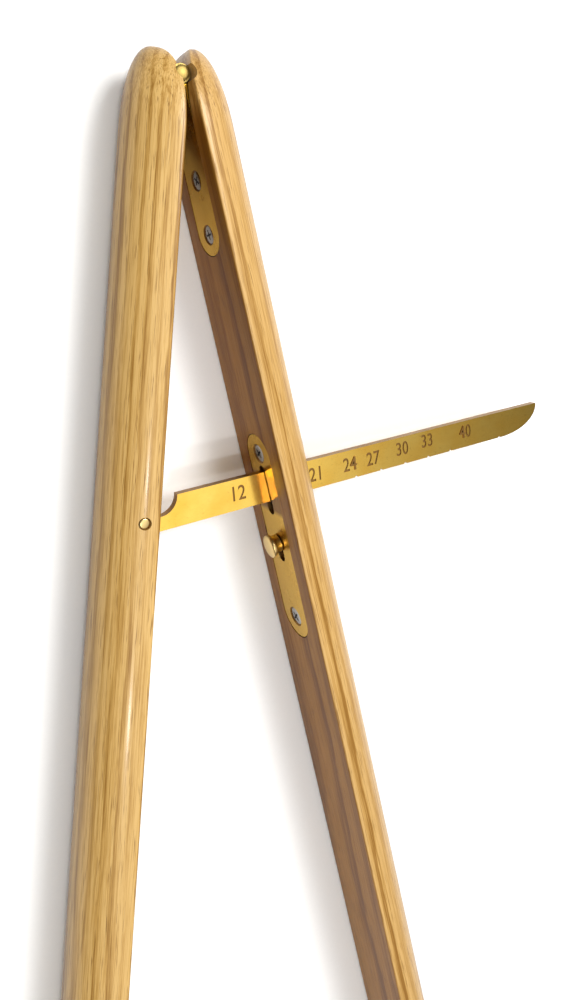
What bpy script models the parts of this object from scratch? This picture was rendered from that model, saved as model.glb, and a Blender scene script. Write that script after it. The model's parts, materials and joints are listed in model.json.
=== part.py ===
"""Folding pace stick: two half-round ash legs hinged at the head, a brass stay
arm that sets the opening, and a sprung catch that locks it.

The stick lies on its back, opened to the 12 inch setting. Each leg is drawn in
its own frame, in millimetres: u runs from the hinge axis down the leg, n points
out of the leg's flat inner face, and z is height above the hinge's mid-plane.
"""

import math

import bmesh
import bpy
from mathutils import Matrix, Vector

MM = 0.001
GAP = 0.3                    # clearance between neighbouring pieces

# Whole stick
LEG_TIP = 905.0              # hinge axis to toe point
TOE_DEPTH = 9.0              # toe point behind the flat face
PACES = (12, 21, 24, 27, 30, 33, 40)
INCH = 25.4
HINGE_X = -3.11              # hinge axis from the middle of the bounding box
HINGE_Y = 441.09

# Leg section
HALF_WIDTH = 16.0
DEPTH_RATIO = 1.05
TAPER = 0.0011
ARC_STEPS = 20
HEAD_TOP = -8.7
DOME_LENGTH = 30.0
DOME_CENTRE_N = -8.7
SHOULDER = 868.0
TENON_END = 879.0
TENON_INSET = 1.9

# Hinge
BARREL_R = 3.2
BARREL_HALF = 8.0
KNUCKLE_HALF = 2.55
PIN_R = 1.45
PIN_HEAD_R = 2.6
LEAF_HALF_WIDTH = 8.0
LEAF_END = 60.7
PLATE_TOP = -0.15            # plate surface, just below the wood's flat face
PLATE_BACK = -1.75
LEAF_SCREWS = (34.5, 53.3)
SET_SCREW_U = 8.0
SET_SCREW_Z = 5.6
SET_SCREW_R = 1.1

# Screws
SCREW_HEAD_R = 3.1
SCREW_SHANK_R = 1.5
SCREW_LENGTH = 11.0

# Stay arm
PIVOT_U = 143.8
PIVOT_N = -4.9
PIVOT_PIN_R = 1.75
PIVOT_PIN_HALF = 14.9
ARM_TILT = 1.0               # degrees, the arm's rise towards the catch
ARM_TOP = 2.0
ARM_BOTTOM = -9.0
ARM_HALF_THICK = 1.5
ARM_LENGTH = 189.0
ARM_TIP_CURVE = 22.0
EYE_R = 5.0
CUT_S = 10.0                 # round cut-out in the arm's upper edge
CUT_T = 2.2
CUT_R = 6.4
NICK_HALF = 0.7
NICK_DEPTH = 0.8
GROOVE_HALF = 2.1

# Catch
CATCH_TOP = 126.2
CATCH_BOTTOM = 205.4
CATCH_SCREWS = (133.5, 197.8)
ARM_SLOT = (138.0, 156.9)
KNOB_SLOT = (165.9, 175.4)
SLOT_HALF = 2.1
KNOB_U = 168.0
CATCH_TRAVEL = 4.0
KNOB_R = 4.1
KNOB_BODY_R = 3.3
KNOB_TOP = 4.4
STUD_R = 1.4
BOLT_HALF = 3.8
BOLT_N = (-4.8, -2.1)
BOLT_NOSE = (157.4, 155.3)
BOLT_FOOT = 180.0
BOLT_REACH = 3.4             # bolt's middle behind the leg's face, along the arm
POCKET_FLOOR = -5.2
POCKET_END = 193.4
SPRING_N = -3.45
SPRING_R = 1.05
WIRE_R = 0.28
SPRING_TURNS = 7

# Shoes and toes
SHOE_END = 893.0
TOE_SHANK_R = 2.4
TOE_COLLAR_R = 4.2
TOE_POINT_R = 0.8
SHOE_PIN_U = 873.5
SHOE_PIN_R = 1.2

ASH = (0.62, 0.40, 0.19, 1.0)
BRASS = (0.83, 0.60, 0.22, 1.0)
STEEL = (0.55, 0.55, 0.56, 1.0)


def opening_for(pace):
    """Leg opening, in radians, that puts the toes this many inches apart."""
    reach = math.hypot(2 * LEG_TIP, 2 * TOE_DEPTH)
    return 2 * (math.asin(pace * INCH / reach) - math.atan2(TOE_DEPTH, LEG_TIP))


HALF_OPENING = opening_for(PACES[0]) / 2
PIVOT_REACH = math.hypot(PIVOT_U, PIVOT_N)
PIVOT_ANGLE = math.atan2(-PIVOT_N, PIVOT_U)


def leg_frame(side):
    """World matrix of a leg's (u, n, z) frame; side is -1 left, +1 right."""
    sine = math.sin(HALF_OPENING)
    cosine = math.cos(HALF_OPENING)
    along = Vector((side * sine, -cosine, 0.0))
    inward = Vector((-side * cosine, -sine, 0.0))
    frame = Matrix((along, inward, Vector((0.0, 0.0, 1.0)))).transposed().to_4x4()
    frame.translation = Vector((HINGE_X, HINGE_Y, HALF_WIDTH))
    return Matrix.Scale(MM, 4) @ frame


def arm_frame():
    """World matrix of the stay arm's (s, t, z) frame, its origin on the pivot."""
    pivot = leg_frame(-1) @ Vector((PIVOT_U, PIVOT_N, 0.0))
    turn = Matrix.Rotation(math.radians(ARM_TILT), 4, "Z")
    return Matrix.Translation(pivot) @ turn @ Matrix.Scale(MM, 4)


LEFT = leg_frame(-1)
RIGHT = leg_frame(1)
ARM = arm_frame()
HINGE_POINT = LEFT.translation.copy()


def slot_reach():
    """Where the arm's middle line crosses the right leg's face, in mm."""
    to_pivot = ARM.translation - HINGE_POINT
    arm_way = ARM.to_3x3() @ Vector((1.0, 0.0, 0.0))
    leg_way = RIGHT.to_3x3() @ Vector((1.0, 0.0, 0.0))
    return to_pivot.cross(arm_way).z / leg_way.cross(arm_way).z


SLOT_REACH = slot_reach()


# ---------------------------------------------------------------- mesh tools

def material(name, colour, metallic, roughness):
    """A Principled material with one colour."""
    made = bpy.data.materials.new(name)
    made.use_nodes = True
    shader = made.node_tree.nodes["Principled BSDF"]
    shader.inputs["Base Color"].default_value = colour
    shader.inputs["Metallic"].default_value = metallic
    shader.inputs["Roughness"].default_value = roughness
    made.diffuse_color = colour
    return made


def loft(name, rings, frame, origin=None):
    """A closed solid through equal rings of points given in a frame."""
    origin = HINGE_POINT if origin is None else origin
    mesh = bmesh.new()
    loops = [[mesh.verts.new(frame @ Vector(p) - origin) for p in ring] for ring in rings]
    count = len(rings[0])
    for first, second in zip(loops, loops[1:]):
        for i in range(count):
            j = (i + 1) % count
            mesh.faces.new((first[i], first[j], second[j], second[i]))
    mesh.faces.new(loops[0])
    mesh.faces.new(loops[-1])
    bmesh.ops.recalc_face_normals(mesh, faces=mesh.faces)
    data = bpy.data.meshes.new(name)
    mesh.to_mesh(data)
    mesh.free()
    data.shade_smooth()
    data.set_sharp_from_angle(angle=math.radians(35))
    made = bpy.data.objects.new(name, data)
    made.location = origin
    bpy.context.scene.collection.objects.link(made)
    return made


def circle(centre_a, centre_b, radius, steps=16):
    """Points of a circle in the plane of two coordinates."""
    turns = [2 * math.pi * i / steps for i in range(steps)]
    return [(centre_a + radius * math.cos(t), centre_b + radius * math.sin(t)) for t in turns]


def slot_outline(start, end, half_width, steps=8):
    """A slot's (u, z) outline from one round end to the other."""
    points = []
    for centre, first in ((end - half_width, -math.pi / 2), (start + half_width, math.pi / 2)):
        for i in range(steps + 1):
            angle = first + math.pi * i / steps
            points.append((centre + half_width * math.cos(angle), half_width * math.sin(angle)))
    return points


def through_n(name, outline, low, high, frame, origin=None):
    """An outline in (u, z) carried from n = low to n = high."""
    return loft(name, [[(u, n, z) for u, z in outline] for n in (low, high)], frame, origin)


def through_z(name, outline, low, high, frame, origin=None):
    """An outline in (u, n) carried from z = low to z = high."""
    return loft(name, [[(u, n, z) for u, n in outline] for z in (low, high)], frame, origin)


def turned_n(name, u, z, profile, frame, origin=None, steps=16):
    """A body of revolution along n through (u, z), from (n, radius) pairs."""
    rings = [[(a, n, b) for a, b in circle(u, z, radius, steps)] for n, radius in profile]
    return loft(name, rings, frame, origin)


def turned_z(name, u, n, profile, frame, origin=None, steps=16):
    """A body of revolution along z through (u, n), from (z, radius) pairs."""
    rings = [[(a, b, z) for a, b in circle(u, n, radius, steps)] for z, radius in profile]
    return loft(name, rings, frame, origin)


def turned_u(name, n, z, profile, frame, origin=None, steps=16):
    """A body of revolution along u through (n, z), from (u, radius) pairs."""
    rings = [[(u, a, b) for a, b in circle(n, z, radius, steps)] for u, radius in profile]
    return loft(name, rings, frame, origin)


def combine(target, tool, operation="DIFFERENCE"):
    """Cut a hidden tool from a piece, or join it on."""
    tool.hide_render = True
    tool.display_type = "WIRE"
    step = target.modifiers.new(tool.name, "BOOLEAN")
    step.operation = operation
    step.solver = "EXACT"
    step.object = tool


def finish(piece, colour, metallic, roughness):
    """Give a piece its own material."""
    piece.data.materials.append(material(piece.name, colour, metallic, roughness))
    return piece


def wood(piece):
    return finish(piece, ASH, 0.0, 0.38)


def brass(piece):
    return finish(piece, BRASS, 1.0, 0.22)


def steel(piece):
    return finish(piece, STEEL, 1.0, 0.35)


# ---------------------------------------------------------------- legs

def section(u, scale=1.0, inset=0.0, centre_n=DOME_CENTRE_N):
    """D-shaped section of a leg at u, shrunk about a point inside it."""
    half = HALF_WIDTH - TAPER * u - inset
    depth = DEPTH_RATIO * (HALF_WIDTH - TAPER * u) - inset
    ring = []
    for i in range(ARC_STEPS + 1):
        angle = math.pi * (i / ARC_STEPS - 0.5)
        n = -inset - (depth - inset) * math.cos(angle)
        ring.append((u, centre_n + scale * (n - centre_n), scale * half * math.sin(angle)))
    return ring


def dome_scale(u):
    """How much of the full section the rounded head keeps at u."""
    share = (HEAD_TOP + DOME_LENGTH - u) / DOME_LENGTH
    return (1 - share ** 2.4) ** 0.48


def leg_blank(name, frame):
    """A leg's wood: domed head, straight tapering shaft and tenon."""
    shares = (0.9995, 0.99, 0.96, 0.91, 0.83, 0.72, 0.58, 0.42, 0.22, 0.0)
    stations = [HEAD_TOP + DOME_LENGTH * (1 - share) for share in shares]
    rings = [section(u, dome_scale(u)) for u in stations]
    rings.append(section(SHOULDER))
    rings.append(section(SHOULDER, inset=TENON_INSET))
    rings.append(section(TENON_END, inset=TENON_INSET))
    return loft(name, rings, frame)


def screw_hole(name, u, frame):
    """Countersunk hole for a plate screw and its pilot hole in the wood."""
    profile = ((0.4, 4.2), (-1.9, 1.9), (-SCREW_LENGTH - 1.6, 1.9))
    return turned_n(name, u, 0.0, profile, frame)


def set_screw_hole(name):
    """Hole for the hinge's set screw."""
    profile = ((-7.5, SET_SCREW_R + GAP), (2.0, SET_SCREW_R + GAP))
    return turned_n(name, SET_SCREW_U, SET_SCREW_Z, profile, RIGHT, steps=12)


def cut_leg_common(leg, side, frame):
    """Barrel groove, hinge leaf recess, screw holes and shoe pin hole."""
    combine(leg, turned_z(f"cut_barrel_{side}", 0.0, 0.0, ((-20, 3.6), (20, 3.6)), frame, steps=24))
    recess = slot_outline(-12.0, LEAF_END + GAP, LEAF_HALF_WIDTH + GAP)
    combine(leg, through_n(f"cut_leaf_{side}", recess, PLATE_BACK - GAP, 2.0, frame))
    for i, u in enumerate(LEAF_SCREWS):
        combine(leg, screw_hole(f"cut_leaf_screw_{side}_{i}", u, frame))
    profile = ((-20, SHOE_PIN_R + GAP), (-7.5, SHOE_PIN_R + GAP))
    combine(leg, turned_n(f"cut_shoe_pin_{side}", SHOE_PIN_U, 0.0, profile, frame, steps=12))


def left_leg():
    """Left leg, grooved to house the stay arm."""
    leg = leg_blank("left_leg", LEFT)
    cut_leg_common(leg, "left", LEFT)
    floor = PIVOT_N + ARM_BOTTOM - 0.7
    end = PIVOT_U + ARM_LENGTH + 2.0
    groove = ((PIVOT_U - 7.0, 2.0), (PIVOT_U - 7.0, -9.5), (PIVOT_U - 2.5, floor),
              (end - ARM_TIP_CURVE, floor), (end - 9.0, floor + 5.0), (end, -2.0), (end, 2.0))
    combine(leg, through_z("cut_groove", groove, -GROOVE_HALF, GROOVE_HALF, LEFT))
    hole = ((-20, PIVOT_PIN_R + GAP), (20, PIVOT_PIN_R + GAP))
    combine(leg, turned_z("cut_pivot", PIVOT_U, PIVOT_N, hole, LEFT))
    reach = KNOB_R + 0.9
    pocket = slot_outline(KNOB_U - reach, KNOB_U + CATCH_TRAVEL + reach, reach)
    combine(leg, through_n("cut_knob_pocket", pocket, -KNOB_TOP - 0.9, 2.0, LEFT))
    return wood(leg)


def right_leg():
    """Right leg, slotted for the arm and pocketed for the catch."""
    leg = leg_blank("right_leg", RIGHT)
    cut_leg_common(leg, "right", RIGHT)
    recess = slot_outline(CATCH_TOP - GAP, CATCH_BOTTOM + GAP, LEAF_HALF_WIDTH + GAP)
    combine(leg, through_n("cut_catch_plate", recess, PLATE_BACK - GAP, 2.0, RIGHT))
    for i, u in enumerate(CATCH_SCREWS):
        combine(leg, screw_hole(f"cut_catch_screw_{i}", u, RIGHT))
    top, bottom = ARM_SLOT
    slot = ((top - 0.4, 2.0), (top - 0.4, -2.0), (top + 1.4, -20.0),
            (bottom + 13.5, -20.0), (bottom + 0.3, -1.0), (bottom + 0.3, 2.0))
    combine(leg, through_z("cut_arm_slot", slot, -SLOT_HALF - 0.2, SLOT_HALF + 0.2, RIGHT))
    half = BOLT_HALF + 0.4
    pocket = ((BOLT_NOSE[1] - 1.2, -half), (POCKET_END, -half), (POCKET_END, half),
              (BOLT_NOSE[1] - 1.2, half))
    combine(leg, through_n("cut_catch_pocket", pocket, POCKET_FLOOR, -1.0, RIGHT))
    combine(leg, set_screw_hole("cut_leg_set_screw"))
    return wood(leg)


# ---------------------------------------------------------------- hinge

def leaf_outline(own_start, other_start, own_middle):
    """Leaf plate in (u, z), cut back where the other leaf's knuckles turn."""
    middle = own_start if own_middle else other_start
    outer = other_start if own_middle else own_start
    step = KNUCKLE_HALF if own_middle else KNUCKLE_HALF + GAP
    edge = LEAF_HALF_WIDTH
    end = slot_outline(0.0, LEAF_END, edge)[:9]
    return end + [(outer, edge), (outer, step), (middle, step), (middle, -step),
                  (outer, -step), (outer, -edge)]


def hinge_leaf(side, frame, own_middle):
    """One hinge leaf: let-in plate with its knuckles round the barrel axis."""
    outline = leaf_outline(2.2, BARREL_R + 0.4, own_middle)
    leaf = through_n(f"hinge_leaf_{side}", outline, PLATE_BACK, PLATE_TOP, frame)
    inner = KNUCKLE_HALF + GAP
    spans = ((-KNUCKLE_HALF, KNUCKLE_HALF),) if own_middle else (
        (-BARREL_HALF, -inner), (inner, BARREL_HALF))
    for i, (low, high) in enumerate(spans):
        ring = ((low, BARREL_R), (high, BARREL_R))
        knuckle = turned_z(f"knuckle_{side}_{i}", 0.0, 0.0, ring, frame, steps=24)
        combine(leaf, knuckle, "UNION")
    bore = ((-12, PIN_R + GAP), (12, PIN_R + GAP))
    combine(leaf, turned_z(f"cut_bore_{side}", 0.0, 0.0, bore, frame))
    for i, u in enumerate(LEAF_SCREWS):
        combine(leaf, screw_hole(f"cut_leaf_hole_{side}_{i}", u, frame))
    if side == "right":
        combine(leaf, set_screw_hole("cut_leaf_set_screw"))
    return brass(leaf)


def hinge_pin():
    """Hinge pin with a domed head at the front and a peened back end."""
    front = BARREL_HALF + GAP
    profile = ((-front - 0.6, 1.9), (-front, 2.2), (-front, PIN_R), (front, PIN_R),
               (front, PIN_HEAD_R), (front + 0.5, PIN_HEAD_R - 0.4), (front + 0.8, 1.2))
    return brass(turned_z("hinge_pin", 0.0, 0.0, profile, LEFT, steps=20))


def plate_screw(name, u, frame):
    """Countersunk wood screw through a plate."""
    top = PLATE_TOP - 0.15
    profile = ((top, SCREW_HEAD_R), (top - 1.6, SCREW_SHANK_R), (2 - SCREW_LENGTH, SCREW_SHANK_R),
               (-SCREW_LENGTH, 0.4))
    return steel(turned_n(name, u, 0.0, profile, frame))


def set_screw():
    """Small screw that keeps the right leaf's corner down beside the barrel."""
    top = PLATE_TOP - 0.1
    profile = ((top, 0.8), (top - 0.3, SET_SCREW_R), (-6.5, SET_SCREW_R), (-7.0, 0.5))
    return steel(turned_n("hinge_set_screw", SET_SCREW_U, SET_SCREW_Z, profile, RIGHT, steps=12))


# ---------------------------------------------------------------- stay arm

def nick(s):
    """Three points of the notch in the arm's lower edge at s."""
    return [(s - NICK_HALF, ARM_BOTTOM), (s, ARM_BOTTOM + NICK_DEPTH), (s + NICK_HALF, ARM_BOTTOM)]


def notch_reach(pace):
    """Distance from the arm's pivot to its slot in the right leg at a setting."""
    turn = opening_for(pace) + PIVOT_ANGLE
    across = 2 * PIVOT_REACH * SLOT_REACH * math.cos(turn)
    return math.sqrt(PIVOT_REACH ** 2 + SLOT_REACH ** 2 - across)


def arm_outline():
    """The arm's (s, t) outline: eye, notched lower edge, curved tip, cut-out."""
    points = [(EYE_R * math.cos(a), EYE_R * math.sin(a))
              for a in (math.radians(d) for d in range(10, 201, 19))]
    points += [(-4.3, -4.5), (-2.6, -7.6), (0.0, ARM_BOTTOM)]
    for pace in PACES:
        points += nick(notch_reach(pace) + BOLT_REACH)
    start = ARM_LENGTH - ARM_TIP_CURVE
    for i in range(9):
        angle = math.pi / 2 * i / 8
        points.append((start + ARM_TIP_CURVE * math.sin(angle),
                       ARM_TOP - (ARM_TOP - ARM_BOTTOM) * math.cos(angle)))
    for d in range(-4, -153, -16):
        angle = math.radians(d)
        points.append((CUT_S + CUT_R * math.cos(angle), CUT_T + CUT_R * math.sin(angle)))
    return points


def stay_arm():
    """Flat brass arm, notched under each pace and pivoted in the left leg."""
    origin = ARM.translation.copy()
    arm = through_z("stay_arm", arm_outline(), -ARM_HALF_THICK, ARM_HALF_THICK, ARM, origin)
    hole = ((-5, PIVOT_PIN_R + GAP), (5, PIVOT_PIN_R + GAP))
    combine(arm, turned_z("cut_eye", 0.0, 0.0, hole, ARM))
    return brass(arm)


def stay_pivot_pin():
    """Pin across the left leg that the arm turns on."""
    profile = ((-PIVOT_PIN_HALF, PIVOT_PIN_R), (PIVOT_PIN_HALF, PIVOT_PIN_R))
    return brass(turned_z("stay_pivot_pin", PIVOT_U, PIVOT_N, profile, LEFT))


# ---------------------------------------------------------------- catch

def catch_plate():
    """Long plate in the right leg's face, slotted for the arm and the knob."""
    outline = slot_outline(CATCH_TOP, CATCH_BOTTOM, LEAF_HALF_WIDTH)
    plate = through_n("catch_plate", outline, PLATE_BACK, PLATE_TOP, RIGHT)
    for i, ends in enumerate((ARM_SLOT, KNOB_SLOT)):
        slot = slot_outline(ends[0], ends[1], SLOT_HALF)
        combine(plate, through_n(f"cut_plate_slot_{i}", slot, -4.0, 2.0, RIGHT))
    for i, u in enumerate(CATCH_SCREWS):
        combine(plate, screw_hole(f"cut_plate_hole_{i}", u, RIGHT))
    return brass(plate)


def catch_bolt(origin):
    """Sliding bolt under the plate, its nose below the arm, with the knob's stud."""
    low, high = BOLT_N
    outline = ((BOLT_NOSE[0], low), (BOLT_FOOT, low), (BOLT_FOOT, high), (BOLT_NOSE[1], high))
    bolt = through_z("catch_bolt", outline, -BOLT_HALF, BOLT_HALF, RIGHT, origin)
    profile = ((high - 1.5, STUD_R), (KNOB_TOP - 1.3, STUD_R))
    combine(bolt, turned_n("bolt_stud", KNOB_U, 0.0, profile, RIGHT, origin), "UNION")
    return brass(bolt)


def catch_knob(origin):
    """Round knob on the bolt's stud."""
    profile = ((0.15, KNOB_BODY_R), (2.1, KNOB_BODY_R), (2.4, KNOB_R - 0.2), (2.7, KNOB_R),
               (3.8, KNOB_R), (4.2, KNOB_R - 0.4), (KNOB_TOP, KNOB_R - 1.4))
    knob = turned_n("catch_knob", KNOB_U, 0.0, profile, RIGHT, origin, steps=20)
    bore = ((-1.0, STUD_R + GAP), (KNOB_TOP - 1.0, STUD_R + GAP))
    combine(knob, turned_n("cut_knob_bore", KNOB_U, 0.0, bore, RIGHT, origin))
    return brass(knob)


def catch_spring():
    """Compression spring behind the bolt."""
    start = BOLT_FOOT + GAP + WIRE_R
    end = POCKET_END - GAP - WIRE_R
    steps = 9 * SPRING_TURNS
    rings = []
    for i in range(steps + 1):
        share = i / steps
        angle = 2 * math.pi * SPRING_TURNS * share
        u = start + (end - start) * share
        ring = []
        for a in (2 * math.pi * k / 5 for k in range(5)):
            reach = SPRING_R + WIRE_R * math.cos(a)
            ring.append((u + WIRE_R * math.sin(a), SPRING_N + reach * math.cos(angle),
                         reach * math.sin(angle)))
        rings.append(ring)
    return steel(loft("catch_spring", rings, RIGHT))


# ---------------------------------------------------------------- feet

def shoe(side, frame):
    """Brass shoe over the leg's tenon, with a bore for the toe."""
    stations = ((SHOULDER + GAP, 1.0), (876.0, 0.985), (883.0, 0.92), (889.0, 0.78), (SHOE_END, 0.6))
    rings = [section(u, scale, centre_n=-TOE_DEPTH) for u, scale in stations]
    body = loft(f"shoe_{side}", rings, frame)
    inset = TENON_INSET - GAP
    cavity = [section(u, inset=inset) for u in (SHOULDER - 2.0, TENON_END + GAP)]
    combine(body, loft(f"cut_cavity_{side}", cavity, frame))
    bore = ((SHOE_END - 8.3, TOE_SHANK_R + GAP), (SHOE_END + 2.0, TOE_SHANK_R + GAP))
    combine(body, turned_u(f"cut_toe_{side}", -TOE_DEPTH, 0.0, bore, frame))
    hole = ((-20, SHOE_PIN_R + GAP), (-7.5, SHOE_PIN_R + GAP))
    combine(body, turned_n(f"cut_pin_{side}", SHOE_PIN_U, 0.0, hole, frame, steps=12))
    return brass(body)


def toe(side, frame):
    """Steel toe: shank in the shoe, and a blunt point."""
    profile = ((SHOE_END - 8.0, TOE_SHANK_R), (SHOE_END + GAP, TOE_SHANK_R),
               (SHOE_END + GAP, TOE_COLLAR_R), (SHOE_END + 2.0, TOE_COLLAR_R),
               (LEG_TIP - 0.6, TOE_POINT_R), (LEG_TIP, 0.4))
    return steel(turned_u(f"toe_{side}", -TOE_DEPTH, 0.0, profile, frame))


def shoe_pin(side, frame):
    """Brad through the shoe's round side into the tenon."""
    surface = -DEPTH_RATIO * (HALF_WIDTH - TAPER * SHOE_PIN_U)
    profile = ((surface, SHOE_PIN_R), (-8.0, SHOE_PIN_R))
    return brass(turned_n(f"shoe_pin_{side}", SHOE_PIN_U, 0.0, profile, frame, steps=12))


def build():
    """Model every piece in an empty scene."""
    for old in list(bpy.data.objects):
        bpy.data.objects.remove(old, do_unlink=True)
    left_leg()
    right_leg()
    hinge_leaf("left", LEFT, False)
    hinge_leaf("right", RIGHT, True)
    hinge_pin()
    set_screw()
    for side, frame in (("left", LEFT), ("right", RIGHT)):
        for place, u in zip(("upper", "lower"), LEAF_SCREWS):
            plate_screw(f"hinge_screw_{side}_{place}", u, frame)
        shoe(side, frame)
        toe(side, frame)
        shoe_pin(side, frame)
    stay_arm()
    stay_pivot_pin()
    catch_plate()
    for place, u in zip(("upper", "lower"), CATCH_SCREWS):
        plate_screw(f"catch_screw_{place}", u, RIGHT)
    catch_origin = RIGHT @ Vector((KNOB_U, 0.0, 0.0))
    catch_bolt(catch_origin)
    catch_knob(catch_origin)
    catch_spring()


build()
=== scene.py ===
"""Visual model of the folding pace stick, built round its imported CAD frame.

Each leg has its own frame in millimetres: u runs from the hinge axis down the leg, n points out of
the leg's flat inner face, and z is height above the hinge's mid-plane. The arm has (s, t, z), with
s along the arm from its pivot and t towards the head. Numbers repeat the CAD's own dimensions.
"""
import json
import math

import bmesh
import bpy
from mathutils import Matrix, Vector


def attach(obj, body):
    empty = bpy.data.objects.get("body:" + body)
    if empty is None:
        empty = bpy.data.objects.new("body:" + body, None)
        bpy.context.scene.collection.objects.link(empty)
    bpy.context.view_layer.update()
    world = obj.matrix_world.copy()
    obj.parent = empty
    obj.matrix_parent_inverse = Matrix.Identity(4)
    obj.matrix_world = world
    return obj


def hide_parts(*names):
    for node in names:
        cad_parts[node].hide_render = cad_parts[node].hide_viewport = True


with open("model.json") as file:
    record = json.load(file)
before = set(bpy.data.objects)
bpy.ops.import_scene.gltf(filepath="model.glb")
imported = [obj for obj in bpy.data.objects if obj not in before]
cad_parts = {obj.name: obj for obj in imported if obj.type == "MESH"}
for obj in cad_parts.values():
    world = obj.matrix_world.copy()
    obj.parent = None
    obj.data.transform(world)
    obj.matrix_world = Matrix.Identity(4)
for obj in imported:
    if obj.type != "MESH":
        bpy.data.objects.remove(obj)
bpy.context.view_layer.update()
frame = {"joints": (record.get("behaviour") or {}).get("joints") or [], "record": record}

MM = 0.001
GAP = 0.3

# Leg section and head
HALF_WIDTH = 16.0
DEPTH_RATIO = 1.05
TAPER = 0.0011
CREASE_R = 0.7
ARC_STEPS = 64
CREASE_STEPS = 4
HEAD_TOP = -8.7
DOME_LENGTH = 30.0
DOME_CENTRE_N = -8.7
DOME_STEPS = 30
SHOULDER = 868.0
TENON_END = 879.0
TENON_INSET = 1.9

# Hinge
BARREL_R = 3.2
BARREL_HALF = 8.0
KNUCKLE_HALF = 2.55
PIN_R = 1.45
PIN_HEAD_R = 2.6
LEAF_HALF_WIDTH = 8.0
LEAF_END = 60.7
PLATE_TOP = -0.15
PLATE_BACK = -1.75
LEAF_SCREWS = (34.5, 53.3)
SET_SCREW_U = 8.0
SET_SCREW_Z = 5.6
SET_SCREW_R = 1.1

# Screws
SCREW_HEAD_R = 3.1
SCREW_SHANK_R = 1.5
SCREW_LENGTH = 11.0

# Stay arm
PIVOT_U = 143.8
PIVOT_N = -4.9
PIVOT_PIN_R = 1.75
PIVOT_PIN_HALF = 14.9
ARM_TILT = 1.0
ARM_TOP = 2.0
ARM_BOTTOM = -9.0
ARM_HALF_THICK = 1.5
ARM_LENGTH = 189.0
ARM_TIP_CURVE = 22.0
EYE_R = 5.0
CUT_S = 10.0
CUT_T = 2.2
CUT_R = 6.4
NICK_HALF = 0.7
NICK_DEPTH = 0.8
GROOVE_HALF = 2.1
NOTCHES = (53.6, 89.6, 101.6, 113.7, 125.7, 137.6, 165.6)
NUMERALS = (("12", 38.8, -3.3), ("21", 71.6, -3.9), ("24", 87.0, -3.6), ("27", 98.0, -3.7),
            ("30", 112.5, -2.9), ("33", 125.5, -2.3), ("40", 146.3, -2.7))
NUMERAL_SIZE = 7.4
NUMERAL_DEPTH = 0.3

# Catch
CATCH_TOP = 126.2
CATCH_BOTTOM = 205.4
CATCH_SCREWS = (133.5, 197.8)
ARM_SLOT = (138.0, 156.9)
KNOB_SLOT = (165.9, 175.4)
SLOT_HALF = 2.1
KNOB_U = 168.0
CATCH_TRAVEL = 4.0
KNOB_R = 4.1
KNOB_BODY_R = 3.3
KNOB_TOP = 4.4
STUD_R = 1.4
BOLT_HALF = 3.8
BOLT_N = (-4.8, -2.1)
BOLT_NOSE = (157.4, 155.3)
BOLT_FOOT = 180.0
POCKET_FLOOR = -5.2
POCKET_END = 193.4
SPRING_N = -3.45
SPRING_R = 1.05
WIRE_R = 0.28
SPRING_TURNS = 7

# Shoes and toes
SHOE_END = 893.0
LEG_TIP = 905.0
TOE_DEPTH = 9.0
TOE_SHANK_R = 2.4
TOE_COLLAR_R = 4.2
TOE_POINT_R = 0.8
SHOE_PIN_U = 873.5
SHOE_PIN_R = 1.2


# ---------------------------------------------------------------- places

class Place:
    """A rigid local frame on one CAD body, drawn in millimetres."""

    def __init__(self, body, origin, first, second):
        third = first.cross(second)
        self.up = 1.0 if third.z > 0 else -1.0
        self.matrix = Matrix((first, second, third)).transposed().to_4x4()
        self.matrix.translation = origin
        self.body = body

    def local(self, point):
        return Vector((point[0], point[1], self.up * point[2])) * MM


def leg_place(body, joint, mount):
    """The (u, n, z) frame of a leg, from its hinge and the mount on its flat face."""
    inward = Vector(mount["axis"])
    along = Vector((inward.y, -inward.x, 0.0))
    if along.y > 0:
        along = -along
    return Place(body, Vector(joint["pos_m"]), along, inward)


joints = {joint["name"]: joint for joint in frame["joints"]}
mounts = {mount["name"]: mount for mount in frame["record"]["mounts"]}
HINGE = Vector(joints["leg_hinge"]["pos_m"])
LEFT = leg_place("left_leg_body", joints["leg_hinge"], mounts["left_leg_face"])
RIGHT = leg_place("right_leg_body", joints["leg_hinge"], mounts["right_leg_face"])
tilt = math.radians(ARM_TILT)
ARM = Place("stay_arm_body", Vector(joints["stay_pivot"]["pos_m"]),
            Vector((math.cos(tilt), math.sin(tilt), 0.0)),
            Vector((-math.sin(tilt), math.cos(tilt), 0.0)))


# ---------------------------------------------------------------- mesh tools

def loft(name, rings, place):
    """A closed solid through equal rings of points given in a place."""
    mesh = bmesh.new()
    loops = [[mesh.verts.new(place.local(p)) for p in ring] for ring in rings]
    count = len(rings[0])
    for first, second in zip(loops, loops[1:]):
        for i in range(count):
            j = (i + 1) % count
            mesh.faces.new((first[i], first[j], second[j], second[i]))
    mesh.faces.new(loops[0])
    mesh.faces.new(loops[-1])
    bmesh.ops.recalc_face_normals(mesh, faces=mesh.faces)
    data = bpy.data.meshes.new(name)
    mesh.to_mesh(data)
    mesh.free()
    made = bpy.data.objects.new(name, data)
    made.matrix_world = place.matrix
    bpy.context.scene.collection.objects.link(made)
    return made


def circle(a, b, radius, steps):
    turns = [2 * math.pi * i / steps for i in range(steps)]
    return [(a + radius * math.cos(t), b + radius * math.sin(t)) for t in turns]


def slot_outline(start, end, half_width, steps=24):
    """A slot's (u, z) outline from one round end to the other."""
    points = []
    for centre, first in ((end - half_width, -math.pi / 2), (start + half_width, math.pi / 2)):
        for i in range(steps + 1):
            angle = first + math.pi * i / steps
            points.append((centre + half_width * math.cos(angle), half_width * math.sin(angle)))
    return points


def through_n(name, outline, low, high, place):
    return loft(name, [[(u, n, z) for u, z in outline] for n in (low, high)], place)


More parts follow.
